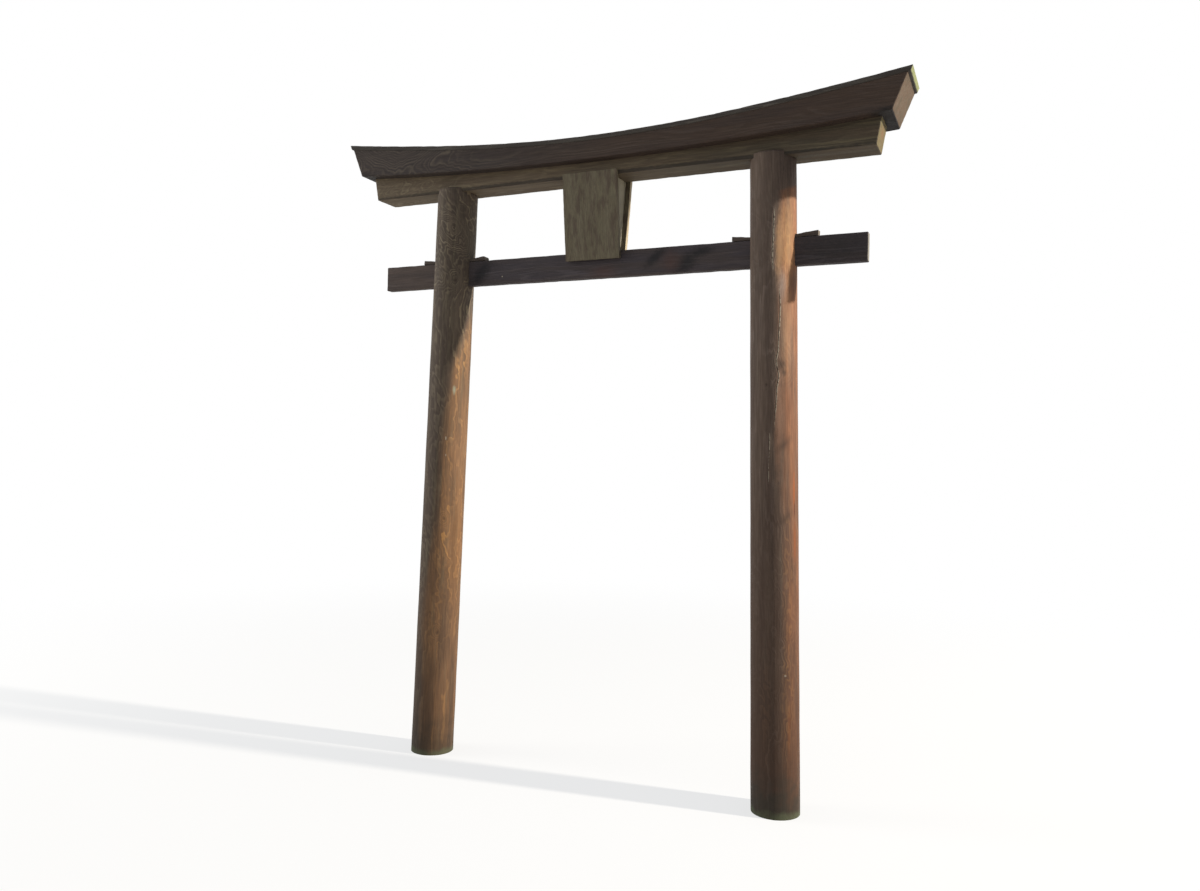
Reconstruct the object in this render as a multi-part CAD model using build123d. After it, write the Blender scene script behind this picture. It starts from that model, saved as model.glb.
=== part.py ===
from build123d import *
from math import atan, cos, radians, sin, sqrt
import os

# A wooden torii gate of the Myojin kind. Two round pillars lean towards each other and carry a
# straight-bottomed lower lintel, a curved upper lintel and a thin cap board. A tie beam passes
# through both pillars and is wedged there, and a strut with two leaning boards stands on it.
# Millimetres. +Z is up, +X runs from the left pillar to the right one, and the front is -Y.
# The origin is the centre of the left pillar's foot. Pieces are drawn about the middle of the
# gate, where X is 0, and moved over when they are written.

# Pillars: tapered logs standing on flat feet.
pillar_spacing = 1900.0        # between the centres of the two feet
pillar_lean = 76.0             # how far a head leans in over its foot, at the lintel's seat
foot_diameter = 228.0
head_diameter = 217.0          # at the lintel's seat
seat_height = 3028.0           # underside of the lower lintel
head_housing = 20.0            # how deep the lower lintel is let into a pillar's head
tenon_width = 60.0             # tenon on the head, along the gate
tenon_depth = 45.0             # and across it
tenon_in_upper_lintel = 40.0   # how far it goes up into the upper lintel

# Tie beam: a plank on edge, through both pillars.
tie_length = 2640.0
tie_height = 132.0
tie_thickness = 44.0
tie_top = 2659.0

# Wedges: driven in over the tie beam from both sides of each pillar.
wedge_at_pillar = 15.0         # height where it enters the pillar
wedge_slope = 0.11             # rise of its top per length, thick end outwards
wedge_driven = 80.0            # how far it goes into the pillar
wedge_thickness = 42.0
wedge_stands_out = {"left_outer": 80.0, "left_inner": 94.0, "right_inner": 86.0, "right_outer": 104.0}

# Lower lintel: flat underneath, bowed on top.
lower_lintel_half_length = 1356.0    # at its underside
lower_lintel_middle = 73.0           # height at the middle
lower_lintel_depth = 160.0
lower_lintel_rake = 10.0             # degrees by which its ends lean outwards
joint_radius = 18800.0               # of the bowed joint between the two lintels

# Upper lintel: rides on the bow and thickens towards its raked ends.
upper_lintel_half_length = 1427.0    # at its underside
upper_lintel_middle = 91.0
upper_lintel_depth = 272.0
end_rake = 22.0                      # degrees, of the upper lintel and the cap board
crown_reach = 750.0                  # half-length of the tighter arc along the top
crown_radius = 8200.0
wing_radius = 17400.0                # of the flatter arcs beyond it

# Cap board: bent along the top, proud of the upper lintel all round.
cap_thickness = 24.0
cap_past_end = 10.0
cap_past_face = 4.0

# Strut and boards between the tie beam and the lower lintel.
tablet_offset = -34.0          # the middle of the strut from the middle of the gate
strut_width = 248.0
strut_tenon_width = 60.0
strut_foot_tenon = 14.0        # thickness of the tenon in the tie beam
strut_head_tenon = 40.0        # and of the one in the lower lintel
strut_tenon_length = 30.0
board_width = 298.0
board_thickness = 25.0
board_lap_on_tie = 40.0        # how far a board hangs down over the tie beam
board_lap_on_lintel = 22.0     # and how far it stands up over the lintel's face

# Fits and finish.
side_clearance = 0.5           # each side of a tenon, tie beam or wedge in its mortise
end_clearance = 2.0            # beyond the end of a tenon
curved_gap = 0.3               # between faces that meet on a curve
blank_margin = 150.0           # by which a sawn blank is longer than the finished piece
arris = 3.0                    # planed off the sharp corners of the lintels, tie beam and cap


def joint_height(x):
    """Height of the bowed joint between the lintels, at x from the middle."""
    return seat_height + lower_lintel_middle + joint_radius - sqrt(joint_radius**2 - x**2)


def pillar_centre(height):
    """Distance of a pillar's centre line from the middle of the gate, at a height."""
    return pillar_spacing / 2 - pillar_lean * height / seat_height


def pillar_radius(height):
    return (foot_diameter + (head_diameter - foot_diameter) * height / seat_height) / 2


def box_between(low, high):
    """Box with its lowest and highest corners given."""
    size = [high[i] - low[i] for i in range(3)]
    return Pos(*low) * Box(*size, align=(Align.MIN, Align.MIN, Align.MIN))


def tenon_box(x, width, depth, bottom, top, clearance=0.0):
    """Upright tenon centred at x, or its mortise when a clearance is given."""
    half_width = width / 2 + clearance
    half_depth = depth / 2 + clearance
    return box_between((x - half_width, -half_depth, bottom), (x + half_width, half_depth, top))


def bow_line(lift):
    """The bowed joint between the lintels, raised by lift."""
    reach = upper_lintel_half_length + blank_margin
    end = joint_height(reach) + lift
    return ThreePointArc((-reach, end), (0, joint_height(0) + lift), (reach, end))


def crown_line(middle_height):
    """Curve along the top: a tighter arc in the middle and a flatter one towards each end."""
    reach = upper_lintel_half_length + blank_margin
    crown_sine = crown_reach / crown_radius
    crown_cosine = sqrt(1 - crown_sine**2)
    crown_end = middle_height + crown_radius * (1 - crown_cosine)
    wing_sine = crown_sine + (reach - crown_reach) / wing_radius
    wing_end = crown_end + wing_radius * (crown_cosine - sqrt(1 - wing_sine**2))
    crown = ThreePointArc((-crown_reach, crown_end), (0, middle_height), (crown_reach, crown_end))
    right = TangentArc((crown_reach, crown_end), (reach, wing_end), tangent=(crown_cosine, crown_sine))
    left = TangentArc((-crown_reach, crown_end), (-reach, wing_end), tangent=(-crown_cosine, crown_sine))
    return left + crown + right


def ends_of(line):
    """Left and right ends of a line made of one or more arcs."""
    points = [tuple(vertex)[:2] for vertex in line.vertices()]
    return min(points), max(points)


def blank_between(low, high, depth):
    """Timber as deep as given, between a lower and an upper line drawn in its elevation."""
    (low_left, low_right), (high_left, high_right) = ends_of(low), ends_of(high)
    outline = low + high + Line(low_left, high_left) + Line(low_right, high_right)
    return extrude(Plane.XZ * make_face(outline.edges()), depth / 2, both=True)


def saw_ends(blank, half_length, height, rake):
    """Cuts both ends on planes that lean outwards and pass through the given height."""
    for side in (1, -1):
        outward = (side * cos(radians(rake)), 0, -sin(radians(rake)))
        blank = split(blank, Plane((side * half_length, 0, height), z_dir=outward), keep=Keep.BOTTOM)
    return blank


def eased(timber, covered=()):
    """Timber with a narrow bevel planed along the edges of its flat faces, apart from the edges
    of the faces that another timber covers."""
    edges = timber.faces().filter_by(GeomType.PLANE).edges()
    kept_sharp = [edge for face in covered for edge in face.edges()]
    return chamfer([edge for edge in edges if edge not in kept_sharp], arris)


def faces_up(timber):
    """The faces on a timber's upper side."""
    return [face for face in timber.faces() if face.normal_at().Z > 0.5]


def lower_lintel():
    reach = upper_lintel_half_length + blank_margin
    underside = Line((-reach, seat_height), (reach, seat_height))
    timber = blank_between(underside, bow_line(0), lower_lintel_depth)
    timber = saw_ends(timber, lower_lintel_half_length, seat_height, lower_lintel_rake)
    timber = eased(timber, faces_up(timber))
    for side in (1, -1):
        timber -= head_tenon(side, side_clearance)
    return timber - strut_tenons(side_clearance)


def upper_lintel():
    top = crown_line(joint_height(0) + curved_gap + upper_lintel_middle)
    timber = blank_between(bow_line(curved_gap), top, upper_lintel_depth)
    timber = saw_ends(timber, upper_lintel_half_length, joint_height(upper_lintel_half_length), end_rake)
    timber = eased(timber, faces_up(timber))
    for side in (1, -1):
        timber -= head_tenon(side, side_clearance)
    return timber


def cap_board():
    underside = joint_height(0) + upper_lintel_middle + 2 * curved_gap
    depth = upper_lintel_depth + 2 * cap_past_face
    board = blank_between(crown_line(underside), crown_line(underside + cap_thickness), depth)
    half_length = upper_lintel_half_length + cap_past_end
    return eased(saw_ends(board, half_length, joint_height(upper_lintel_half_length), end_rake))


def head_tenon(side, clearance=0.0):
    """Tenon that runs from a pillar's head through the lower lintel into the upper one."""
    x = side * pillar_centre(seat_height)
    top = joint_height(pillar_centre(seat_height)) + tenon_in_upper_lintel
    if clearance:
        top += end_clearance
    return tenon_box(x, tenon_width, tenon_depth, seat_height, top, clearance)


def wedge(side, face, stands_out, clearance=0.0):
    """Wedge over the tie beam. side is the pillar, -1 or 1, and face the side of it that the
    wedge is driven in from, -1 or 1. A clearance widens it into the slot that it is driven in."""
    mouth = side * pillar_centre(tie_top) + face * pillar_radius(tie_top)
    tip, end = mouth - face * wedge_driven, mouth + face * stands_out
    tip_top = tie_top + wedge_at_pillar - wedge_slope * wedge_driven
    end_top = tie_top + wedge_at_pillar + wedge_slope * stands_out
    outline = Polyline((tip, tie_top), (tip, tip_top), (end, end_top), (end, tie_top), close=True)
    return extrude(Plane.XZ * make_face(outline), wedge_thickness / 2 + clearance, both=True)


def tie_mortise(side):
    """Hole for the tie beam, with a sloping slot over it for each of the two wedges."""
    x = side * pillar_centre(tie_top)
    half_width = tie_thickness / 2 + side_clearance
    wedge_tip = wedge_at_pillar - wedge_slope * wedge_driven
    low = (x - foot_diameter, -half_width, tie_top - tie_height)
    hole = box_between(low, (x + foot_diameter, half_width, tie_top + wedge_tip))
    for face in (1, -1):
        hole += wedge(side, face, foot_diameter, side_clearance)
    return hole


def pillar(side):
    """Leaning log, cut level at the foot, housed and tenoned at the head."""
    lean = Vector(-side * pillar_lean, 0, seat_height)
    length = lean.length
    taper = (head_diameter - foot_diameter) / 2 / length
    low_radius = foot_diameter / 2 - taper * blank_margin
    high_radius = head_diameter / 2 + taper * blank_margin
    start = Vector(side * pillar_spacing / 2, 0, 0) - lean.normalized() * blank_margin
    align = (Align.CENTER, Align.CENTER, Align.MIN)
    log = Plane(start, z_dir=lean) * Cone(low_radius, high_radius, length + 2 * blank_margin, align=align)
    log = split(log, Plane.XY, keep=Keep.TOP)
    log = split(log, Plane.XY.offset(seat_height + head_housing), keep=Keep.BOTTOM)
    x = side * pillar_centre(seat_height)
    half_depth = lower_lintel_depth / 2 + side_clearance
    low = (x - head_diameter, -half_depth, seat_height)
    high = (x + head_diameter, half_depth, seat_height + 2 * head_housing)
    log -= box_between(low, high)
    return log + head_tenon(side) - tie_mortise(side)


def tie_beam():
    half_length, half_width = tie_length / 2, tie_thickness / 2
    low = (-half_length, -half_width, tie_top - tie_height)
    plank = eased(box_between(low, (half_length, half_width, tie_top)))
    return plank - strut_tenons(side_clearance)


def board_foot():
    """Height of the inner lower edge of the boards, where they bear on the tie beam."""
    return tie_top - board_lap_on_tie


def board_lean():
    """Angle by which the boards lean out, from the tie beam's face to the lower lintel's."""
    spread = (lower_lintel_depth - tie_thickness) / 2
    return atan(spread / (seat_height - board_foot()))


def board_inner_face(height):
    """Distance of a board's inner face from the middle plane of the gate."""
    return tie_thickness / 2 + (height - board_foot()) * sin(board_lean()) / cos(board_lean())


def strut_tenons(clearance=0.0):
    extra = end_clearance if clearance else 0.0
    foot_low = tie_top - strut_tenon_length - extra
    head_high = seat_height + strut_tenon_length + extra
    foot = tenon_box(tablet_offset, strut_tenon_width, strut_foot_tenon, foot_low, tie_top, clearance)
    head = tenon_box(tablet_offset, strut_tenon_width, strut_head_tenon, seat_height, head_high, clearance)
    return foot + head


def strut():
    """Block that tapers down from the lower lintel to the tie beam, with a tenon at each end."""
    foot, head = board_inner_face(tie_top), board_inner_face(seat_height)
    outline = Polyline((-foot, tie_top), (foot, tie_top), (head, seat_height), (-head, seat_height), close=True)
    block = extrude(Plane.YZ * make_face(outline), strut_width / 2, both=True)
    return Pos(tablet_offset, 0, 0) * block + strut_tenons()


def board(face):
    """Board on the front (-1) or rear (1) of the strut, lapping the tie beam and the lintel."""
    lean = board_lean()
    length = (seat_height + board_lap_on_lintel - board_foot()) / cos(lean)
    up = Vector(face * sin(lean), cos(lean))
    out = Vector(face * cos(lean), -sin(lean)) * board_thickness
    foot = Vector(face * tie_thickness / 2, board_foot())
    head = foot + up * length
    outline = Polyline(foot, head, head + out, foot + out, close=True)
    plank = extrude(Plane.YZ * make_face(outline), board_width / 2, both=True)
    return Pos(tablet_offset, 0, 0) * plank


pieces = {
    "left_pillar": pillar(-1),
    "right_pillar": pillar(1),
    "tie_beam": tie_beam(),
    "lower_lintel": lower_lintel(),
    "upper_lintel": upper_lintel(),
    "cap_board": cap_board(),
    "strut": strut(),
    "front_board": board(-1),
    "rear_board": board(1),
}
for name, stands_out in wedge_stands_out.items():
    side = 1 if name.startswith("right") else -1
    face = side if name.endswith("outer") else -side
    pieces["wedge_" + name] = wedge(side, face, stands_out)

os.makedirs("parts", exist_ok=True)
for name, piece in pieces.items():
    export_step(Pos(pillar_spacing / 2, 0, 0) * piece, f"parts/{name}.step")
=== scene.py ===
import bmesh
import bpy
from functools import partial
from math import cos, exp, pi, radians, sin, sqrt
from mathutils import Matrix, Vector, noise


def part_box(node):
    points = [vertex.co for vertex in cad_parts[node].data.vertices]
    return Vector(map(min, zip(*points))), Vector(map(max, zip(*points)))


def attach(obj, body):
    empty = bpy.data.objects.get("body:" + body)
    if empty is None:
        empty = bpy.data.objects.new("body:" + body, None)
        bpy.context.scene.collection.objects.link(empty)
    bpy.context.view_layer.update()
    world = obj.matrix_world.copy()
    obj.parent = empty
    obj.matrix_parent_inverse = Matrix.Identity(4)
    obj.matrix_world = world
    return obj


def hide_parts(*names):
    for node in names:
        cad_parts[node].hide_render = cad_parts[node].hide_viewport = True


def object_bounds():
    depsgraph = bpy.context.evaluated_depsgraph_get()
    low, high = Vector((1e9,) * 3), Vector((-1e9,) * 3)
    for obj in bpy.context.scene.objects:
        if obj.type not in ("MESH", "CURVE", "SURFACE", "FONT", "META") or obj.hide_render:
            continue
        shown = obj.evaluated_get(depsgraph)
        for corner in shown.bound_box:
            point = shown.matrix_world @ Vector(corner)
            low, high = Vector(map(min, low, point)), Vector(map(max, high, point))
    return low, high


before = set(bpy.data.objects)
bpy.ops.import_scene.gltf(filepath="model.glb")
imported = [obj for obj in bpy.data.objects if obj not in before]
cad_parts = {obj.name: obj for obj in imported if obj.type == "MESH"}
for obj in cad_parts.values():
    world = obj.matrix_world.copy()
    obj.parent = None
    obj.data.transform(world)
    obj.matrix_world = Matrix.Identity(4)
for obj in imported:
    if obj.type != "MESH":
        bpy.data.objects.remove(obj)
cad_low, cad_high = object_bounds()


# ---- The two pillars -------------------------------------------------------------------------
# Peeled cedar logs, 228 mm across at the foot and 217 mm under the lintels, leaning in towards
# each other. They are brushed with a thin dark oil stain, have split along one side as they
# dried, and are damp and green where they meet the ground.

HEAD_RADIUS = 0.1085           # under the lower lintel
HEAD_CHEEK = 0.020             # how far a head rises beside the lintel that is let into it
LEAN = 0.076                   # of a head over its foot
RING_STEP = 0.010              # height between two rings of points
LOG_COLUMNS = 108              # points round a log, not counting those along its splits
DRAWKNIFE = 0.0018             # depth of the hollows that the drawknife left
DRAWKNIFE_HOLLOW = (0.05, 0.05, 0.17)    # and their width, both ways across, and length
HOLLOWED_RADIUS = 0.11         # of the log, as far as the places of the hollows go
SPLIT_DEPTH = 2.6              # of a drying split, in times its width
SPLIT_ROOM = 0.090             # angle beside a split that the other columns keep out of
CLOSED_SPLIT = 0.0010          # width that a split's columns keep where it has closed
LIP_SHOWS = 0.0015             # width of a split at which its lip is bare and its inside dark
LIP_FALL = 0.0044              # how far the wood falls away beside a split whose lip has risen
LIP_SIDE = 0.26                # angle from the split at which it has fallen most, on that side
FAR_SIDE = 0.20                # and on the other
FAR_SIDE_FALL = 0.25           # share of that fall on the other side
# Columns of points across a split: how far aside each stands, in times the split's width, how
# deep it is pushed in, in times its depth, and how much of it is bare lip, 1, or inside, -1.
SPLIT_COLUMNS = ((-2.2, 0, 0.0), (-0.5, 0, -0.5), (0, 1, -1.0), (0.5, 0.05, 1.0), (1.9, 0, 0.7),
                 (2.8, 0, 0.0))
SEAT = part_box("lower_lintel")[0].z
FOOT_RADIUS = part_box("left_pillar")[1].y

HEART_SWAY = 0.55              # length of tree over which its heart sways once
LONG_WAVES = (0.024, 0.60)     # width and length of the waves that even straight grain has
CURLS = ((1.0, 1.0), (0.45, 0.16), (0.16, 0.020))    # curls in curls: their size and strength
CLEAR_STRETCH = (0.06, 0.35)   # width and length of a stretch with clear rings
WORN_STREAK = (0.016, 0.26)    # and of a streak where the stain has worn thin
RAGGED_EDGE = (0.010, 0.022)   # and of the rags along the edge of a mark
FIBRES = (0.0045, 0.10)        # and of a bundle of fibres
CHIPS = (0.006, 0.016)         # and of the chips along the lip of a split
SUN_DRIFT = (0.05, 0.30)       # and of the waves in the edge of a log's sunlit side, partly bleached and partly painted sunlight
STAIN_DRIFT = (0.03, 0.60)     # and in the edge between two colours along a timber
BARE_LIP = "#c3b7a4"           # dry wood that a split has laid bare
SPLIT_INSIDE = "#1b1410"
SPLASHED_DIRT = "#3c271a"
DAMP = "#2e2b24"
MOSS = "#565b45"
DIRT_HEIGHTS = (2.40, 0.20)    # where splashed dirt ends, and where it is thickest
CREEPING = 0.05                # width of the tongues in which damp climbs up the wood

SMOOTH = {"interpolation_type": "SMOOTHSTEP"}
OVER = {"data_type": "RGBA"}
TIMES = {"data_type": "RGBA", "blend_type": "MULTIPLY"}


def paint(code):
    """An sRGB hex colour as linear red, green, blue and alpha."""
    channels = [int(code[i:i + 2], 16) / 255 for i in (1, 3, 5)]
    linear = [c / 12.92 if c <= 0.04045 else ((c + 0.055) / 1.055) ** 2.4 for c in channels]
    return (*linear, 1.0)


def add(tree, kind, inputs, **settings):
    """Adds a node with its settings and what goes into its sockets, in their order or by name:
    a value is set there, and a node, or a node with the name of one of its outputs, is linked."""
    node = tree.nodes.new("ShaderNode" + kind)
    for name, value in settings.items():
        setattr(node, name, value)
    sockets = [socket for socket in node.inputs if socket.enabled]
    named = {socket.name: socket for socket in sockets}
    pairs = inputs.items() if isinstance(inputs, dict) else enumerate(inputs)
    for key, value in pairs:
        socket = named[key] if isinstance(key, str) else sockets[key]
        if isinstance(value, tuple) and isinstance(value[0], bpy.types.Node):
            tree.links.new(value[0].outputs[value[1]], socket)
        elif isinstance(value, bpy.types.Node):
            tree.links.new(next(out for out in value.outputs if out.enabled), socket)
        else:
            socket.default_value = value
    return node


def grain_cloud(tree, place, width, length, detail=2.0):
    """Cloudy pattern from 0 to 1, drawn out along the grain. Sizes in metres."""
    stretch = (1 / width, 1 / width, 1 / length)
    drawn_out = add(tree, "VectorMath", [place, stretch], operation="MULTIPLY")
    return add(tree, "TexNoise", {"Vector": drawn_out, "Scale": 1.0, "Detail": detail})


def stained_wood(name, axes, heart, soft, hard, soaked, worn, lean=0.0, ring=0.005, sway=0.05,
                 straight=0.018, curl=0.038, figure=(0.060, 0.140), slant=(0, 0, 0), calm=0.12,
                 figured=(), blots=(0.045, 0.50), soaked_amount=0.55, worn_amount=0.4, seed=0.0,
                 turned=None, bleached_and_lit_reach=((0.0, 0.0),), along_to=None, second=None, marks=(),
                 fibre=0.18, split=False, splashed=0.0, sawn=False):
    """Softwood under a thin oil stain. The tree's yearly rings are cut by the surface into
    stripes, loops and chevrons; the soft wood of each year has drunk the stain and is dark, and
    the hard wood stands between as a thin paler line. Rings are drawn 3 to 7 mm wide, two or
    three times as wide as real ones, and bundles of fibres 4.5 mm wide, much coarser than real
    ones, so that both still show from some metres away.
    axes name the two directions across the grain, then the one along it. heart is where the
    middle of the tree lies across the grain, in metres, and sway how far it strays as the tree
    grew. figure is the width and length of a curl in the grain, curl how far one bends it, and
    slant turns the curls over, in degrees. straight is how far the long waves bend calm grain.
    Grain is as wild as calm says, from 0 to 1, and wilder in each figured place: its middle,
    its reach and how wild it is. blots is the width and length of a patch soaked with stain.
    second is another pair of soft and hard colours. It lies on the side of a log that turned points to,
    wider by what the offsets for each height add, or it sets in between the two places of along_to. On
    a pillar that side is partly wood bleached by the sun and partly painted sunlight, and it stops
    where the lintels' shadow begins. marks are knots, runs and smears, and some are patches of painted
    shade and of painted light, split paints a log's drying splits, splashed is how much dirt and damp
    its foot has, and sawn wood is cut across its fibres."""
    material = bpy.data.materials.new(name)
    material.use_nodes = True
    tree = material.node_tree
    tree.nodes.clear()
    place = (add(tree, "TexCoord", {}), "Object")
    parts = add(tree, "SeparateXYZ", [place])
    across, depth, along = ((parts, axis) for axis in axes)
    shift = add(tree, "Math", [along, -lean, -heart[0]], operation="MULTIPLY_ADD")
    across = add(tree, "Math", [across, shift], operation="ADD")
    depth = add(tree, "Math", [depth, heart[1]], operation="SUBTRACT")
    log = add(tree, "CombineXYZ", [across, depth, along])
    wood = add(tree, "VectorMath", [log, (seed, seed, seed)], operation="ADD")

    # Yearly rings round a heart that sways from side to side up the tree.
    upward = add(tree, "VectorMath", [wood, (0, 0, 1 / HEART_SWAY)], operation="MULTIPLY")
    swing = add(tree, "TexNoise", {"Vector": upward, "Scale": 1.0, "Detail": 1.5})
    swing = add(tree, "VectorMath", [(swing, "Color"), (0.5, 0.5, 0.5)], operation="SUBTRACT")
    grown = add(tree, "VectorMath", [swing, (sway, sway, 0), log], operation="MULTIPLY_ADD")
    grown = add(tree, "VectorMath", [grown, (1, 1, 0)], operation="MULTIPLY")
    radius = (add(tree, "VectorMath", [grown], operation="LENGTH"), "Value")
    wildness = calm
    for centre, reach, strength in figured:
        off = add(tree, "Math", [along, centre], operation="SUBTRACT")
        off = add(tree, "Math", [off], operation="ABSOLUTE")
        near = add(tree, "MapRange", [off, reach, reach * 0.4, calm, strength], **SMOOTH)
        wildness = add(tree, "Math", [near, wildness], operation="MAXIMUM")
    drawn = grain_cloud(tree, wood, *LONG_WAVES)
    amount = add(tree, "MapRange", [wildness, 0.0, 1.0, straight, straight * 0.25])
    radius = add(tree, "Math", [drawn, amount, radius], operation="MULTIPLY_ADD")
    turn = tuple(radians(angle) for angle in slant)
    swept = add(tree, "Mapping", {"Vector": wood, "Rotation": turn})
    for scale, share in CURLS:
        bend = grain_cloud(tree, swept, figure[0] * scale, figure[1] * scale)
        bend = add(tree, "Math", [bend, wildness], operation="MULTIPLY")
        radius = add(tree, "Math", [bend, curl * share, radius], operation="MULTIPLY_ADD")

    # Each mark is an egg-shaped place in the wood with a ragged edge. The grain swings round it
    # as far as its swirl says.
    ragged = grain_cloud(tree, wood, *RAGGED_EDGE, 3.0)
    painted_marks = []
    for mark in marks:
        local = add(tree, "Mapping", {
            "Vector": place, "Location": mark["at"],
            "Rotation": (radians(mark["tilt"]), 0, radians(mark["faces"])), "Scale": mark["size"],
        }, vector_type="TEXTURE")
        reach = (add(tree, "VectorMath", [local], operation="LENGTH"), "Value")
        edge = add(tree, "Math", [ragged, 0.7, reach], operation="MULTIPLY_ADD")
        inside = add(tree, "MapRange", [edge, 1.45, 1.45 - mark["edge"], 0.0, mark["amount"]], **SMOOTH)
        painted_marks.append((inside, mark["colour"], mark["lines"]))
        if mark["swirl"]:
            swing = add(tree, "MapRange", [reach, 3.6, 0.6, 0.0, mark["swirl"]], **SMOOTH)
            radius = add(tree, "Math", [radius, swing], operation="ADD")

    # Within each year soft wood turns to hard wood slowly and stops at once. Some years, and
    # some stretches, show more than others.
    count = add(tree, "Math", [radius, ring], operation="DIVIDE")
    phase = add(tree, "Math", [count], operation="FRACT")
    year = add(tree, "Math", [count], operation="FLOOR")
    good_year = (add(tree, "TexWhiteNoise", {"W": year}, noise_dimensions="1D"), "Value")
    rise = add(tree, "MapRange", [phase, 0.30, 0.82], **SMOOTH)
    fall = add(tree, "MapRange", [phase, 0.88, 1.0, 1.0, 0.0], **SMOOTH)
    hard_wood = add(tree, "Math", [rise, fall], operation="MULTIPLY")
    showing = add(tree, "MapRange", [good_year, 0.0, 1.0, 0.2, 1.0])
    clear = grain_cloud(tree, wood, *CLEAR_STRETCH)
    clear = add(tree, "MapRange", [clear, 0.36, 0.60, 0.25, 1.0], **SMOOTH)
    clear = add(tree, "Math", [clear, wildness], operation="MAXIMUM")
    showing = add(tree, "Math", [showing, clear], operation="MULTIPLY")
    hard_wood = add(tree, "Math", [hard_wood, showing], operation="MULTIPLY")

    # The wood's colours, with the second pair on the side turned to the sun, which is partly bleached
    # wood and partly painted sunlight, or further along.
    colour = add(tree, "Mix", [hard_wood, paint(soft), paint(hard)], **OVER)
    if second:
        other = add(tree, "Mix", [hard_wood, paint(second[0]), paint(second[1])], **OVER)
        if turned is not None:
            flat = add(tree, "VectorMath", [log, (1, 1, 0)], operation="MULTIPLY")
            flat = add(tree, "VectorMath", [flat], operation="NORMALIZE")
            towards = (cos(radians(turned)), sin(radians(turned)), 0)
            facing = (add(tree, "VectorMath", [flat, towards], operation="DOT_PRODUCT"), "Value")
            drift = grain_cloud(tree, wood, *SUN_DRIFT, 3.0)
            facing = add(tree, "Math", [drift, 0.5, facing], operation="MULTIPLY_ADD")
            facing = add(tree, "Math", [facing, bleached_and_lit_reach[0][1]], operation="ADD")
            for (start, before), (end, after) in zip(bleached_and_lit_reach, bleached_and_lit_reach[1:]):
                wider = add(tree, "MapRange", [along, start, end, 0.0, after - before])
                facing = add(tree, "Math", [facing, wider], operation="ADD")
            change = add(tree, "MapRange", [facing, 0.12, 0.62], **SMOOTH)
        else:
            drift = grain_cloud(tree, wood, *STAIN_DRIFT, 3.0)
            reached = add(tree, "Math", [drift, 0.8, along], operation="MULTIPLY_ADD")
            change = add(tree, "MapRange", [reached, along_to[0] + 0.4, along_to[1] + 0.4], **SMOOTH)
        colour = add(tree, "Mix", [change, colour, other], **OVER)

    # Stain that has soaked in or worn thin, fibres, marks, splits, and what splashed up the foot.
    patches = grain_cloud(tree, wood, *blots, 3.5)
    patches = add(tree, "MapRange", [patches, 0.42, 0.64, 0.0, soaked_amount], **SMOOTH)
    colour = add(tree, "Mix", [patches, colour, paint(soaked)], **OVER)
    pale_wear_and_painted_light = grain_cloud(tree, wood, *WORN_STREAK, 4.0)
    pale_wear_and_painted_light = add(tree, "MapRange", [pale_wear_and_painted_light, 0.50, 0.74, 0.0, worn_amount], **SMOOTH)
    colour = add(tree, "Mix", [pale_wear_and_painted_light, colour, paint(worn)], **OVER)
    fibres = grain_cloud(tree, wood, FIBRES[0], FIBRES[0] if sawn else FIBRES[1], 3.0)
    fibre = fibre / 3 if sawn else fibre
    shade_of = add(tree, "MapRange", [fibres, 0.28, 0.72, 1.0 - fibre, 1.0 + fibre], **SMOOTH)
    shade_of = add(tree, "CombineXYZ", [shade_of, shade_of, shade_of])
    colour = add(tree, "Mix", [1.0, colour, shade_of], **TIMES)
    for inside, tint, lines in painted_marks:
        if lines:
            inside = add(tree, "Math", [inside, hard_wood], operation="MULTIPLY")
        colour = add(tree, "Mix", [inside, colour, paint(tint)], **OVER)
    if split:
        lip = (add(tree, "Attribute", {}, attribute_name="split"), "Fac")
        chipped = grain_cloud(tree, wood, *CHIPS)
        chipped = add(tree, "MapRange", [chipped, 0.40, 0.55, 0.35, 1.0])
        bare = add(tree, "Math", [lip, chipped], operation="MULTIPLY")
        bare = add(tree, "MapRange", [bare, 0.15, 0.75, 0.0, 0.85], **SMOOTH)
        colour = add(tree, "Mix", [bare, colour, paint(BARE_LIP)], **OVER)
        inside = add(tree, "MapRange", [lip, -0.25, -0.75], **SMOOTH)
        colour = add(tree, "Mix", [inside, colour, paint(SPLIT_INSIDE)], **OVER)
    if splashed:
        dirt = add(tree, "MapRange", [along, *DIRT_HEIGHTS, 0.0, splashed])
        colour = add(tree, "Mix", [dirt, colour, paint(SPLASHED_DIRT)], **OVER)
        creeping = grain_cloud(tree, wood, CREEPING, CREEPING, 3.0)
        height = add(tree, "Math", [creeping, -0.30, along], operation="MULTIPLY_ADD")
        damp = add(tree, "MapRange", [height, 0.12, -0.13, 0.0, splashed], **SMOOTH)
        colour = add(tree, "Mix", [damp, colour, paint(DAMP)], **OVER)
        height = add(tree, "Math", [creeping, -0.06, along], operation="MULTIPLY_ADD")
        moss = add(tree, "MapRange", [height, 0.012, -0.020, 0.0, 0.7], **SMOOTH)
        colour = add(tree, "Mix", [moss, colour, paint(MOSS)], **OVER)

    # Hard wood and fibres stand a little proud of the soft wood, and are a little smoother.
    relief = add(tree, "Math", [fibres, 0.5, hard_wood], operation="MULTIPLY_ADD")
    bump = add(tree, "Bump", {"Strength": 0.35, "Distance": 0.0012, "Height": relief})
    gloss = add(tree, "MapRange", [relief, 0.0, 1.3, 0.80, 0.60], **SMOOTH)
    shader = add(tree, "BsdfPrincipled", {
        "Base Color": colour, "Roughness": gloss, "Normal": bump, "Specular IOR Level": 0.30})
    add(tree, "OutputMaterial", {"Surface": shader})
    return material


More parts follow.
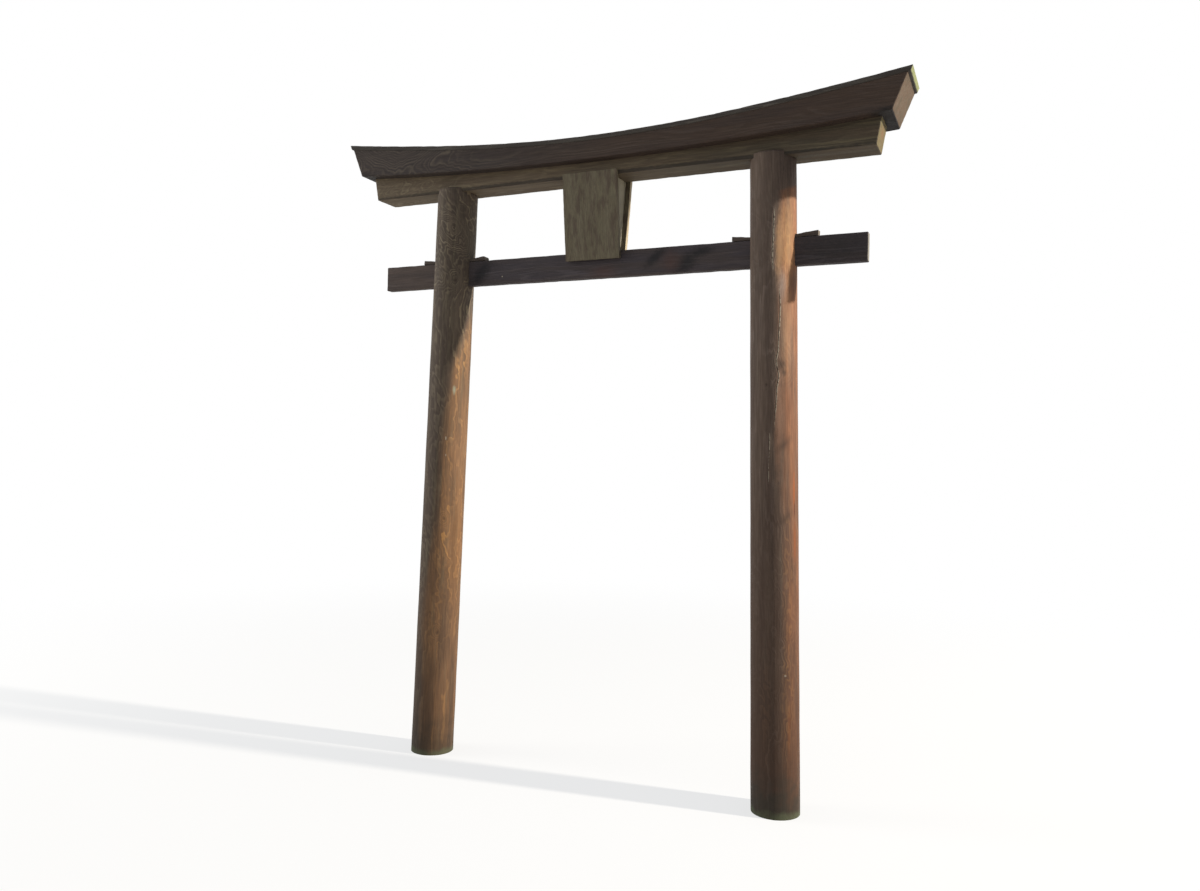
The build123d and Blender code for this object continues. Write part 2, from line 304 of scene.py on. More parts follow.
def mark(at, faces, size, colour, amount=0.85, tilt=0.0, swirl=0.0, edge=0.6, lines=False):
    """A mark in the wood, centred on a point of its surface. faces is the compass angle of the
    surface, size its half depth, half width and half height, and tilt leans it over. A mark of
    lines colours the hard wood only."""
    return {"at": at, "faces": faces, "size": size, "colour": colour, "amount": amount,
            "tilt": tilt, "swirl": swirl, "edge": edge, "lines": lines}


def on_log(foot_x, lean, angle, height, *size, **looks):
    """A mark on the surface of a pillar, at an angle round it and a height."""
    radius = FOOT_RADIUS + (HEAD_RADIUS - FOOT_RADIUS) * height / SEAT
    middle = foot_x + lean * height / SEAT
    at = (middle + radius * cos(radians(angle)), radius * sin(radians(angle)), height)
    return mark(at, angle, size, **looks)


def shade(mesh, crease):
    """Smooth shading, apart from corners sharper than crease degrees."""
    mesh.polygons.foreach_set("use_smooth", [True] * len(mesh.polygons))
    mesh.set_sharp_from_angle(angle=radians(crease))


def show(mesh, name, node):
    """Puts a mesh in the scene in place of a CAD node."""
    piece = bpy.data.objects.new(name, mesh)
    bpy.context.scene.collection.objects.link(piece)
    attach(piece, "root")
    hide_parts(node)
    return piece


def open_width(split, height):
    """How far a drying split stands open at a height. It tapers to nothing over the last sixth
    at both ends, and wavers on the way."""
    bottom, top = split["path"][0][0], split["path"][-1][0]
    share = (height - bottom) / (top - bottom)
    if not 0 < share < 1:
        return 0.0
    waver = 0.8 + 0.4 * noise.noise(Vector((height * 9, split["angle"], 0)))
    return split["width"] * waver * min(1.0, 6 * share, 6 * (1 - share))


def split_angle(split, height):
    """Angle round the log at which a split lies: it wanders along its path as the grain does,
    and jitters by up to about half a degree."""
    path = split["path"]
    height = min(max(height, path[0][0]), path[-1][0])
    for (low, start), (high, end) in zip(path, path[1:]):
        if height <= high:
            share = (height - low) / (high - low)
            share = share * share * (3 - 2 * share)
            jitter = noise.noise(Vector((height * 30, split["angle"], 7))) * 0.6
            return radians(start + (end - start) * share + jitter)


def swung(base, anchors):
    """The angle that a column of the mesh has moved to, where each anchor is the angle of a
    column and how far that one has moved."""
    for (start, before), (end, after) in zip(anchors, anchors[1:]):
        if start <= base <= end:
            return base + before + (after - before) * (base - start) / (end - start)


def log_mesh(foot_x, lean, splits, still):
    """A log as rings of points. Columns follow the splits: the middle one of each is pushed in
    to make a groove, and the wood on the side where the lip has risen falls away from it. The
    columns at the angles in still don't move."""
    columns = []
    for split in splits:
        for aside, depth, lip in SPLIT_COLUMNS:
            columns.append((radians(split["angle"]), aside, depth, lip, split))
    for i in range(LOG_COLUMNS):
        angle = 2 * pi * i / LOG_COLUMNS
        if min(abs(angle - radians(split["angle"])) for split in splits) > SPLIT_ROOM:
            columns.append((angle, 0, 0, 0.0, None))
    columns.sort(key=lambda column: column[0] + column[1] * 1e-4)

    shape = bmesh.new()
    top = SEAT + HEAD_CHEEK
    steps = round(top / RING_STEP)
    rings, lips = [], []
    for j in range(steps + 1):
        height = top * j / steps
        radius = FOOT_RADIUS + (HEAD_RADIUS - FOOT_RADIUS) * height / SEAT
        middle = Vector((foot_x + lean * height / SEAT, 0, height))
        openings = [(split, open_width(split, height), split_angle(split, height)) for split in splits]
        anchors = [(radians(angle), 0.0) for angle in still]
        for split, width, bearing in openings:
            anchors.append((radians(split["angle"]), bearing - radians(split["angle"])))
        anchors.sort()
        ring = []
        for base, aside, depth, lip, own in columns:
            angle = swung(base, anchors)
            fall, opened = 0.0, 0.0
            for split, width, bearing in openings:
                if split is own:
                    opened = width
                gap = angle - bearing + (aside * width / radius if split is own else 0.0)
                reach = gap / LIP_SIDE if gap > 0 else -gap / FAR_SIDE
                share = 1.0 if gap > 0 else FAR_SIDE_FALL
                fall += LIP_FALL * width / split["width"] * reach * exp(1 - reach) * share
            angle += aside * max(opened, CLOSED_SPLIT) / radius
            out = Vector((cos(angle), sin(angle), 0))
            point = out * HOLLOWED_RADIUS + Vector((foot_x, 0, height))
            place = [where / size for where, size in zip(point, DRAWKNIFE_HOLLOW)]
            hollow = 0.5 + 0.5 * noise.noise(Vector(place))
            inset = DRAWKNIFE * hollow + depth * opened * SPLIT_DEPTH + fall
            ring.append(shape.verts.new(middle + out * (radius - inset)))
            lips.append(lip * min(1.0, opened / LIP_SHOWS))
        rings.append(ring)
    for lower, upper in zip(rings, rings[1:]):
        for k in range(len(columns)):
            m = (k + 1) % len(columns)
            shape.faces.new((lower[k], lower[m], upper[m], upper[k]))
    shape.faces.new(list(reversed(rings[0])))
    shape.faces.new(rings[-1])
    mesh = bpy.data.meshes.new("log")
    shape.to_mesh(mesh)
    shape.free()
    mesh.attributes.new("split", "FLOAT", "POINT").data.foreach_set("value", lips)
    return mesh


def cut_with(mesh, nodes):
    """The mesh with the shapes of other timbers cut out of it, so that they fit in."""
    piece = bpy.data.objects.new("blank", mesh)
    bpy.context.scene.collection.objects.link(piece)
    for node in nodes:
        cut = piece.modifiers.new(node, "BOOLEAN")
        cut.operation = "DIFFERENCE"
        cut.solver = "EXACT"
        cut.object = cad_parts[node]
    graph = bpy.context.evaluated_depsgraph_get()
    carved = bpy.data.meshes.new_from_object(piece.evaluated_get(graph))
    bpy.data.objects.remove(piece)
    return carved


left_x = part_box("left_pillar")[0].x + FOOT_RADIUS
right_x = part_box("right_pillar")[1].x - FOOT_RADIUS
on_left = partial(on_log, left_x, LEAN)
on_right = partial(on_log, right_x, -LEAN)
KNOT = {"colour": "#33251d", "amount": 0.9, "edge": 0.8}
SMUDGE = {"colour": "#3a2e27", "edge": 1.1}
RUN = {"colour": "#44362e", "amount": 0.70, "edge": 1.3}
GOLDEN = {"colour": "#dca35c", "edge": 1.1, "lines": True}
SPECK = {"colour": "#c9bfae", "amount": 0.85, "edge": 0.6}
PILLAR_LOOKS = {
    "left": {
        "foot_x": left_x, "lean": LEAN,
        "still": (0.0, 75.0, 160.0, 360.0),
        "splits": [{"angle": 118.0, "width": 0.004,
                    "path": [(0.35, 121.0), (1.1, 116.0), (1.7, 119.0), (2.3, 116.0)]}],
        "colours": ("#594d44", "#8c7e67", "#4a4139", "#887e66"),
        "grain": {"ring": 0.0066, "curl": 0.064, "figure": (0.066, 0.150), "seed": 11.7,
                  "slant": (0, 40, 0),
                  "figured": [(2.74, 0.36, 0.85), (1.95, 0.50, 0.42), (1.05, 0.80, 0.5)]},
        # The second pair on the sunny side is partly bleached wood and partly painted sunlight, ending
        # at the lintels' shadow.
        "sun_bleached_and_painted_lit": {"second": ("#88684d", "#ae8356"), "turned": 18.0,
                   "bleached_and_lit_reach": ((0.3, 0.58), (0.7, 0.80), (1.1, 0.48), (1.7, 0.27), (2.05, 0.0),
                               (2.55, -1.5))},
        "splashed": 0.50,
        "marks": [
            on_left(-50.0, 1.08, 0.05, 0.044, 0.560, amount=0.32, **GOLDEN),
            on_left(-22.0, 2.08, 0.05, 0.045, 0.200, amount=0.5, **GOLDEN),
            on_left(-22.0, 1.88, 0.06, 0.100, 0.600, colour="#7d6048", amount=0.28, edge=1.3),
            on_left(-15.0, 1.12, 0.06, 0.100, 0.500, colour="#c0823f", amount=0.24, edge=1.3),
            # The next two marks are painted shade: dark patches at the head, where the lintels' shadow
            # falls.
            on_left(-16.0, 2.78, 0.05, 0.045, 0.300, colour="#38362d", amount=0.30, edge=1.2),
            on_left(22.0, 2.70, 0.05, 0.055, 0.280, colour="#38362d", amount=0.60, edge=1.1),
            on_left(-60.0, 2.80, 0.05, 0.026, 0.062, tilt=45.0, swirl=0.045, amount=0.0, **SMUDGE),
            on_left(-78.0, 2.72, 0.06, 0.105, 0.380, colour="#2b251e", amount=0.22, edge=1.2),
            on_left(-68.0, 2.76, 0.06, 0.110, 0.380, colour="#a8977e", amount=0.62, edge=1.2,
                    lines=True),
            on_left(-50.0, 2.36, 0.04, 0.050, 0.170, colour="#8c7d69", amount=0.30, edge=1.2),
            # Painted shadow: the right pillar's shadow across the front of this one.
            on_left(-62.0, 1.97, 0.04, 0.044, 0.520, colour="#4f4339", amount=0.42, edge=1.3),
            on_left(-42.0, 1.96, 0.02, 0.012, 0.030, colour="#aab09a", amount=0.7, edge=0.9),
            on_left(-59.0, 1.70, 0.01, 0.0025, 0.011, **SPECK),
            on_left(-57.0, 1.61, 0.01, 0.0020, 0.008, **SPECK),
            on_left(-52.0, 2.55, 0.03, 0.014, 0.022, swirl=0.030, amount=0.75, **SMUDGE),
            on_left(-64.0, 2.84, 0.03, 0.010, 0.016, swirl=0.030, amount=0.75, **SMUDGE),
            on_left(-52.0, 1.27, 0.03, 0.010, 0.014, swirl=0.020, **RUN),
            on_left(-56.0, 0.66, 0.03, 0.011, 0.016, swirl=0.020, **RUN),
            on_left(150.0, 2.05, 0.03, 0.014, 0.018, swirl=0.020, **KNOT),
            on_left(60.0, 1.40, 0.03, 0.012, 0.015, swirl=0.020, **KNOT),
        ],
    },
    "right": {
        "foot_x": right_x, "lean": -LEAN,
        "still": (0.0, 60.0, 150.0, 250.0, 318.0, 360.0),
        "splits": [{"angle": 272.0, "width": 0.0018, "path": [(1.50, 269.5), (1.77, 272.5)]},
                   {"angle": 282.0, "width": 0.0032,
                    "path": [(2.47, 282.5), (2.55, 279.5), (2.70, 283.0), (2.80, 285.5)]},
                   {"angle": 293.0, "width": 0.0034,
                    "path": [(1.74, 283.0), (1.94, 289.0), (2.01, 294.5), (2.075, 288.5), (2.14, 293.8),
                             (2.33, 298.5), (2.46, 295.5)]},
                   {"angle": 100.0, "width": 0.004,
                    "path": [(0.5, 97.0), (1.0, 102.0), (1.9, 99.0)]}],
        "colours": ("#63544a", "#75645a", "#52443d", "#7d7165"),
        "grain": {"ring": 0.0056, "curl": 0.060, "seed": 3.7, "slant": (0, 25, 0),
                  "figured": [(2.62, 0.26, 0.45), (0.80, 0.70, 0.58)]},
        # The second pair on the sunny side is partly bleached wood and partly painted sunlight, ending
        # at the lintels' shadow.
        "sun_bleached_and_painted_lit": {"second": ("#8b6149", "#a8764f"), "turned": 14.0,
                   "bleached_and_lit_reach": ((1.4, -0.12), (2.0, 0.0), (2.86, 0.0), (2.93, -1.5))},
        "splashed": 0.78,
        "marks": [
            # Pale golden wood in the sunlit patch, painted paler still: partly painted light.
            on_right(-38.0, 2.64, 0.05, 0.060, 0.260, colour="#dcae78", amount=0.38, edge=1.2),
            on_right(-38.0, 2.66, 0.05, 0.070, 0.260, amount=0.25, **GOLDEN),
            on_right(-42.0, 2.20, 0.05, 0.050, 0.300, colour="#cfab86", amount=0.30, edge=1.3),
            # Painted shade: dark patch at the head, in the lintels' shadow above the sunlit patch.
            on_right(-30.0, 3.00, 0.05, 0.110, 0.190, colour="#2c2523", amount=0.55, edge=1.1),
            # Painted light: a pale strip beside the split, where sunlight falls on its risen lip.
            on_right(-62.0, 2.60, 0.05, 0.024, 0.210, colour="#d6a679", amount=0.45, edge=0.9),
            on_right(-64.0, 1.78, 0.05, 0.028, 0.300, colour="#b98b70", amount=0.45, edge=1.0),
            on_right(-55.0, 2.43, 0.03, 0.032, 0.100, colour="#a3938a", amount=0.60, edge=1.2),
            # Painted shadow: the tie beam's shadow below its end.
            on_right(-18.0, 2.45, 0.03, 0.040, 0.095, colour="#54433a", amount=0.50, edge=1.0),
            on_right(-40.0, 1.15, 0.05, 0.040, 0.420, amount=0.55, **GOLDEN),
            on_right(-46.0, 0.52, 0.05, 0.040, 0.420, amount=0.60, **GOLDEN),
            on_right(-100.0, 0.50, 0.05, 0.040, 0.420, colour="#a5713f", amount=0.45, edge=1.2,
                     lines=True),
            on_right(-57.0, 2.062, 0.03, 0.030, 0.038, swirl=0.016, amount=0.75, **SMUDGE),
            on_right(-50.0, 2.025, 0.03, 0.018, 0.022, swirl=0.008, amount=0.75, **SMUDGE),
            on_right(-60.0, 2.20, 0.03, 0.020, 0.130, colour="#4c3d34", amount=0.4, edge=1.3),
            on_right(-52.0, 1.695, 0.03, 0.028, 0.085, tilt=-48.0, **RUN),
            on_right(-48.0, 1.36, 0.03, 0.026, 0.070, tilt=-45.0, **RUN),
            on_right(-22.0, 1.49, 0.03, 0.012, 0.120, colour="#b0602c", amount=0.7, edge=1.0),
            on_right(-20.0, 1.40, 0.03, 0.006, 0.050, colour="#4a1d12", amount=0.8, edge=0.8),
            on_right(-51.0, 0.648, 0.01, 0.0060, 0.0060, **SPECK),
            on_right(-94.0, 1.969, 0.02, 0.008, 0.010, swirl=0.008, amount=0.75, **SMUDGE),
            on_right(-20.0, 1.25, 0.03, 0.018, 0.130, colour="#b0602c", amount=0.55, edge=1.0),
            on_right(-42.0, 0.40, 0.03, 0.012, 0.140, colour="#b06a34", amount=0.50, edge=1.0),
            on_right(140.0, 2.35, 0.03, 0.013, 0.018, swirl=0.020, **KNOT),
            on_right(30.0, 0.95, 0.03, 0.012, 0.016, swirl=0.020, **KNOT),
        ],
    },
}

for side, looks in PILLAR_LOOKS.items():
    mesh = log_mesh(looks["foot_x"], looks["lean"], looks["splits"], looks["still"])
    wedges = [f"wedge_{side}_outer", f"wedge_{side}_inner"]
    mesh = cut_with(mesh, ["lower_lintel", "tie_beam"] + wedges)
    mesh.materials.clear()
    # Peeled log: grey-brown and dull where it faces away from the sun, and warm orange-brown on the
    # side that faces it, partly bleached and partly painted sunlight that stops at the lintels' shadow,
    # with fine looping lines all over.
    mesh.materials.append(stained_wood(
        f"oil_stained_peeled_cedar_{side}", "XYZ", (looks["foot_x"] + 0.02, 0.015), *looks["colours"],
        **looks["grain"], **looks["sun_bleached_and_painted_lit"], sway=0.03, lean=looks["lean"] / SEAT, marks=looks["marks"],
        split=True, splashed=looks["splashed"], worn_amount=0.3))
    shade(mesh, 35)
    show(mesh, f"{side}_pillar_log", side + "_pillar")


# ---- The tie beam ----------------------------------------------------------------------------
# A planed plank on edge, 44 by 132 mm, pushed through a mortise in each pillar. It has the
# darkest and coldest stain, smeared by a brush, and its sawn ends are weathered grey.

GRID = 0.016                   # spacing of the points on a planed face
WEAR = 0.0009                  # unevenness of a planed face
EDGE_WEAR = 0.0016             # and what is rubbed and knocked off its edges
WORN_SPOT = 0.05               # width of an uneven spot on a face
DRAWN_OUT = 3                  # how many times as long as wide it is along the grain
CHIPPED_SPOT = 0.012           # width of a knock on an edge
PLANED_CREASE = 25             # degrees between two faces that meet in an edge


def planed(node, name, along, timber, end_wood, edge_wear=EDGE_WEAR, grid=GRID, covered=(),
           bruise=None, pale_wear_and_painted_light=None):
    """A planed timber: the node's own shape, cut into small faces and made a little uneven, more
    so along its edges. Faces that are sawn across the grain get their own material. covered says
    whether the upper side, 1, and the underside, -1, meet another timber and stay as they are.
    bruise moves a point where the timber was struck, and the last argument is the material of the side
    that looks towards the sun, painted pale as that side looks in full sun: painted light."""
    shape = bmesh.new()
    shape.from_mesh(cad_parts[node].data)
    bmesh.ops.remove_doubles(shape, verts=shape.verts, dist=1e-5)
    bmesh.ops.dissolve_limit(shape, angle_limit=radians(0.1), verts=shape.verts, edges=shape.edges)
    low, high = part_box(node)
    for axis in range(3):
        count = max(1, round((high[axis] - low[axis]) / grid))
        for i in range(1, count):
            place, normal = Vector(), Vector()
            place[axis] = low[axis] + (high[axis] - low[axis]) * i / count
            normal[axis] = 1
            everything = shape.verts[:] + shape.edges[:] + shape.faces[:]
            bmesh.ops.bisect_plane(shape, geom=everything, dist=1e-6, plane_co=place, plane_no=normal)
    shape.normal_update()
    inward = {}
    for vertex in shape.verts:
        on_edge = any(len(edge.link_faces) == 2 and edge.calc_face_angle() > radians(PLANED_CREASE)
                      for edge in vertex.link_edges)
        point = vertex.co.copy()
        point[along] /= DRAWN_OUT
        amount = WEAR * (0.5 + 0.5 * noise.noise(point / WORN_SPOT))
        if on_edge:
            amount += edge_wear * max(0.0, noise.noise(point / CHIPPED_SPOT) + 0.2)
        inward[vertex] = vertex.normal * amount
        if any(face.normal.z * side > 0.9 for face in vertex.link_faces for side in covered):
            inward[vertex].z = 0.0
    for vertex, step in inward.items():
        vertex.co -= step
    for face in shape.faces:
        face.material_index = 0
        if abs(face.normal[along]) > 0.8:
            face.material_index = 1
        elif pale_wear_and_painted_light and face.normal.x > 0.8:
            face.material_index = 2
    if bruise:
        for vertex in shape.verts:
            bruise(vertex.co)
    mesh = bpy.data.meshes.new(name)
    shape.to_mesh(mesh)
    shape.free()
    mesh.materials.append(timber)
    mesh.materials.append(end_wood)
    if pale_wear_and_painted_light:
        mesh.materials.append(pale_wear_and_painted_light)
    shade(mesh, PLANED_CREASE)
    return show(mesh, name, node)


tie_low, tie_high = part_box("tie_beam")
tie_middle = (tie_low + tie_high) / 2
tie_pith = (tie_middle.y + 0.05, tie_low.z + 0.03)
SMEAR = {"colour": "#151417", "amount": 0.85, "edge": 1.0}
RUSTY = {"colour": "#543a35", "amount": 0.55, "edge": 1.3}


def on_tie(face, aside, above, size, **looks):
    """A mark on the tie beam's front, -1, or rear, 1, measured from its middle."""
    y = tie_low.y if face < 0 else tie_high.y
    return mark((tie_middle.x + aside, y, tie_middle.z + above), 90 * face, size, **looks)


tie_marks = [
    on_tie(-1, 0.30, 0.02, (0.02, 0.036, 0.100), tilt=-52.0, **SMEAR),
    on_tie(-1, 0.46, -0.02, (0.02, 0.055, 0.105), tilt=-50.0, **SMEAR),
    on_tie(-1, 0.54, 0.03, (0.02, 0.030, 0.085), tilt=-78.0, **SMEAR),
    on_tie(-1, 0.38, -0.01, (0.02, 0.075, 0.080), **RUSTY),
    on_tie(-1, 0.02, -0.04, (0.02, 0.050, 0.110), tilt=90.0, **RUSTY),
    on_tie(-1, -0.70, 0.0, (0.02, 0.055, 0.130), tilt=-42.0, **SMEAR),
    # Painted shade: the right end of the beam darkened, where it lies in shade under the lintels.
    mark((tie_high.x - 0.12, tie_middle.y, tie_middle.z), -90, (0.10, 0.14, 0.42), tilt=90.0,
         colour="#1d1a1b", amount=0.75, edge=1.2),
    on_tie(1, -0.20, 0.0, (0.02, 0.028, 0.080), tilt=45.0, **SMEAR),
    on_tie(1, 0.60, 0.0, (0.02, 0.020, 0.060), tilt=50.0, **SMEAR),
    on_tie(-1, -0.57, -0.027, (0.01, 0.004, 0.004), **SPECK),
]
# Planed cedar under a heavy brushed stain: nearly black, with faint smears and dull lines.
planed("tie_beam", "tie_beam_plank", 0,
       stained_wood("heavily_stained_planed_cedar", "YZX", tie_pith,
                    "#564a45", "#635651", "#463d3b", "#625753",
                    along_to=(-0.15, 0.30), second=("#423c40", "#484145"), sway=0.03, straight=0.012,
                    soaked_amount=0.7, worn_amount=0.25, marks=tie_marks, seed=1.3),
       stained_wood("weathered_sawn_cedar_tie_end", "YZX", tie_pith,
                    "#868279", "#98948a", "#6f6b64", "#a9a8a0", ring=0.003, sawn=True))


# ---- The wedges ------------------------------------------------------------------------------
# Four cedar wedges driven in over the tie beam, one from each side of each pillar. They are sawn,
# stained with the beam, and bruised where the mallet struck their thick ends.

WEDGE_GRID = 0.006             # spacing of the points on a wedge
WEDGE_EDGE_WEAR = 0.003        # what is knocked off its edges
BATTERED = 0.015               # radius of the corner that the mallet has beaten round
battered_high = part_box("wedge_left_inner")[1]


def beat_round(point):
    """Beats the top corner of a wedge's thick end down to a rounded one."""
    in_x = point.x - (battered_high.x - BATTERED)
    in_z = point.z - (battered_high.z - BATTERED)
    if in_x > 0 and in_z > 0:
        out = sqrt(in_x ** 2 + in_z ** 2)
        if out > BATTERED:
            point.x -= in_x * (1 - BATTERED / out)
            point.z -= in_z * (1 - BATTERED / out)


for side in ("left", "right"):
    for face in ("outer", "inner"):
        node = f"wedge_{side}_{face}"
        low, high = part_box(node)
        pith = (0.05, low.z - 0.04)
        # Sawn cedar with the beam's stain, drier and a little paler, with straight close grain.
        planed(node, node + "_block", 0,
               stained_wood("stained_sawn_cedar_" + node, "YZX", pith,
                            "#4f4540", "#64594f", "#423a37", "#6d6358", sway=0.02, seed=low.x),
               stained_wood("bruised_cedar_end_" + node, "YZX", pith,
                            "#6f665a", "#857b6c", "#5d554b", "#8f8677", ring=0.003, sawn=True),
               edge_wear=WEDGE_EDGE_WEAR, grid=WEDGE_GRID,
               bruise=beat_round if node == "wedge_left_inner" else None)


# ---- The lower lintel ------------------------------------------------------------------------
# A planed cedar beam, flat underneath and bowed on top, let into the pillars' heads. Rain runs
# down it and hangs on its lower edges, where it has left a dark line.

lower_low, lower_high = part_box("lower_lintel")
lower_middle = (lower_low + lower_high) / 2
lower_pith = (0.03, lower_low.z + 0.05)
DRIP = {"size": (0.006, 0.016, 1.75), "tilt": 90.0, "colour": "#2a2522", "amount": 0.72,
        "edge": 0.45}
lower_marks = [
    mark((lower_middle.x, lower_low.y, lower_low.z + 0.004), -90, **DRIP),
    mark((lower_middle.x, lower_high.y, lower_low.z + 0.004), 90, **DRIP),
]
end_marks = [mark((lower_high.x, 0.0, lower_middle.z + 0.01), 0, (0.05, 0.055, 0.045), colour="#80583c",
                  amount=0.6, edge=1.3)]
# Planed cedar whose stain has weathered to a grey-brown with an olive cast, in long soft streaks.
planed("lower_lintel", "lower_lintel_beam", 0,
       stained_wood("weathered_planed_cedar", "YZX", lower_pith,
                    "#6a5d4d", "#7f725b", "#57493b", "#7f745a",
                    along_to=(0.6, 1.9), second=("#4d4539", "#625845"), sway=0.05,
                    figured=[(-0.2, 0.5, 1.0)], slant=(30, 0, 0), marks=lower_marks, seed=2.1),
       stained_wood("bleached_sawn_cedar_end", "YZX", lower_pith,
                    "#68593c", "#746646", "#65613f", "#7e7c58",
                    ring=0.004, sawn=True, blots=(0.03, 0.03), marks=end_marks),
       covered=(1,))


# ---- The strut and its boards ----------------------------------------------------------------
# A short cedar block stands on the tie beam under the middle of the lintel, and a planed board
# leans out on its front and rear. Their grain runs upright in narrow streaks.

strut_low, strut_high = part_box("strut")
strut_middle = (strut_low.x + strut_high.x) / 2
block_pith = (strut_middle + 0.02, 0.03)
rear_pith = (strut_middle - 0.9, -0.1)    # far from the board, so that its rings lie straight
# Rough cedar block, grey, painted paler than the wood so that its sides, shaded between the boards,
# come out as bright as the sky lights them: painted light.
planed("strut", "strut_block", 2,
       stained_wood("grey_sawn_cedar_block", "XYZ", block_pith,
                    "#a49e8c", "#b5ae9b", "#8f8979", "#bab4a1", sway=0.02, seed=0.6),
       stained_wood("sawn_cedar_block_end", "XYZ", block_pith,
                    "#716c5f", "#8b8575", "#5f5a4f", "#8f8a7b", sawn=True))
# Planed edge of the rear board, which stands in the sun: a pale straw colour as it looks in full sun,
# which is painted light.
painted_sunlit_edge = stained_wood("painted_sunlit_cedar_board_edge", "XYZ", rear_pith,
                             "#b3a488", "#c5b79a", "#96886f", "#c9bca2", sway=0.01, seed=5.2)
for face, pith, seed in (("front", (strut_middle - 0.9, 0.1), 0.2), ("rear", rear_pith, 5.2)):
    node = face + "_board"
    # Planed cedar board cut across the rings, so its grain is in close upright lines, with
    # brown blots where the stain went on thick.
    planed(node, node + "_plank", 2,
           stained_wood(f"stained_planed_cedar_{face}_board", "XYZ", pith,
                        "#6c6452", "#79705e", "#574a40", "#7a7560",
                        sway=0.01, calm=0.05, blots=(0.022, 0.090), soaked_amount=0.75,
                        worn_amount=0.45, fibre=0.15, seed=seed),
           stained_wood(f"sawn_cedar_{face}_board_end", "XYZ", pith,
                        "#746c5f", "#8a8170", "#5f574c", "#8f8877", ring=0.003, sawn=True),
           pale_wear_and_painted_light=painted_sunlit_edge if face == "rear" else None)


# ---- The upper lintel ------------------------------------------------------------------------
# The longest timber under the cap board, with the heart of the tree in it, sawn to a long upward
# curve and thickening towards its raked ends. Its ends are paler where they dry.

# Painted shade: a near-black patch on the underside of each end, beyond the lower lintel, where shade
# falls.
UNDERSIDE_SHADE = {"size": (0.10, 0.35, 0.035), "colour": "#151312", "edge": 0.8}
SWIRL_HEIGHT = 3.28            # middle of the swirl in the grain near the left end
upper_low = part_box("upper_lintel")[0]
upper_pith = (0.0, upper_low.z + 0.10)
upper_marks = [
    mark((lower_high.x + 0.03, 0.0, upper_low.z + 0.045), 0, amount=0.9, **UNDERSIDE_SHADE),
    mark((lower_low.x - 0.03, 0.0, upper_low.z + 0.045), 0, amount=0.7, **UNDERSIDE_SHADE),
    mark((cad_low.x + 0.34, upper_low.y, SWIRL_HEIGHT), -90, (0.05, 0.085, 0.045),
         colour="#463e3a", amount=0.0, swirl=0.055),
]
# Planed cedar stained almost black-brown: broad swirls of fine pale lines at the left end, and
# plain and reddish towards the right.
planed("upper_lintel", "upper_lintel_beam", 0,
       stained_wood("dark_stained_planed_cedar", "YZX", upper_pith,
                    "#3e3634", "#5a4f42", "#382e2b", "#584e43",
                    along_to=(0.1, 1.3), second=("#45372f", "#4b3e37"), sway=0.08, ring=0.0066,
                    curl=0.055, figure=(0.130, 0.260), slant=(60, 0, 0),
                    figured=[(-0.30, 0.75, 1.0)], soaked_amount=0.5, worn_amount=0.14,
                    marks=upper_marks, seed=4.4),
       stained_wood("dried_sawn_cedar_end", "YZX", upper_pith,
                    "#5d4b3b", "#685747", "#504839", "#6e6857",
                    ring=0.006, sawn=True, blots=(0.04, 0.04)),
       covered=(1, -1))


# ---- The cap board ---------------------------------------------------------------------------
# A thin cedar board bent along the top to shed rain from the upper lintel, proud of it all
# round. It is planed, and its ends are sawn to the same rake as the lintel's.

cap_pith = (0.3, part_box("cap_board")[0].z)
# Planed cedar board that takes the weather: grey and dull on top, green with algae on its ends.
planed("cap_board", "cap_board_plank", 0,
       stained_wood("weathered_planed_cap_board", "YZX", cap_pith,
                    "#433e3a", "#56504a", "#373330", "#68635b", sway=0.03, seed=6.5),
       stained_wood("algae_green_sawn_cap_end", "YZX", cap_pith,
                    "#8f9468", "#a5a97c", "#7d8259", "#b3b78c", ring=0.003, sawn=True),
       covered=(-1,))


# ---- The room that it is seen in -------------------------------------------------------------
# A plain pale floor, a small lamp far off and high on the right where the sun would stand, a
# broad weak one on the left, and an even light from all round. The floor is darker to the light
# that bounces off it than to the eye, so that shaded sides stay dark, and far off it goes white.

FLOOR_REACH = 60.0             # from the gate's middle to each edge of the floor
FLOOR_GLOW = 0.70              # share of the near floor that is plain white to the eye
FLOOR_FADE = (2.5, 8.0)        # distances between which the rest of it goes white
LAMP = Vector((23.0, 2.86, 13.6))
SOFT_LAMP = Vector((-8.5, -2.8, 2.2))    # from the gate's middle
middle = (cad_low + cad_high) / 2

floor_mesh = bpy.data.meshes.new("floor")
floor_mesh.from_pydata([(middle.x + x, middle.y + y, cad_low.z) for x, y in (
    (-FLOOR_REACH, -FLOOR_REACH), (FLOOR_REACH, -FLOOR_REACH), (FLOOR_REACH, FLOOR_REACH),
    (-FLOOR_REACH, FLOOR_REACH))], [], [(0, 1, 2, 3)])
floor = bpy.data.objects.new("floor", floor_mesh)
bpy.context.scene.collection.objects.link(floor)


def seen_ray(tree):
    """1 for a ray from the eye, a reflection or a glass, and 0 for light that bounces."""
    rays = add(tree, "LightPath", {})
    seen = add(tree, "Math", [(rays, "Is Camera Ray"), (rays, "Is Glossy Ray")], operation="MAXIMUM")
    return add(tree, "Math", [seen, (rays, "Is Transmission Ray")], operation="MAXIMUM")


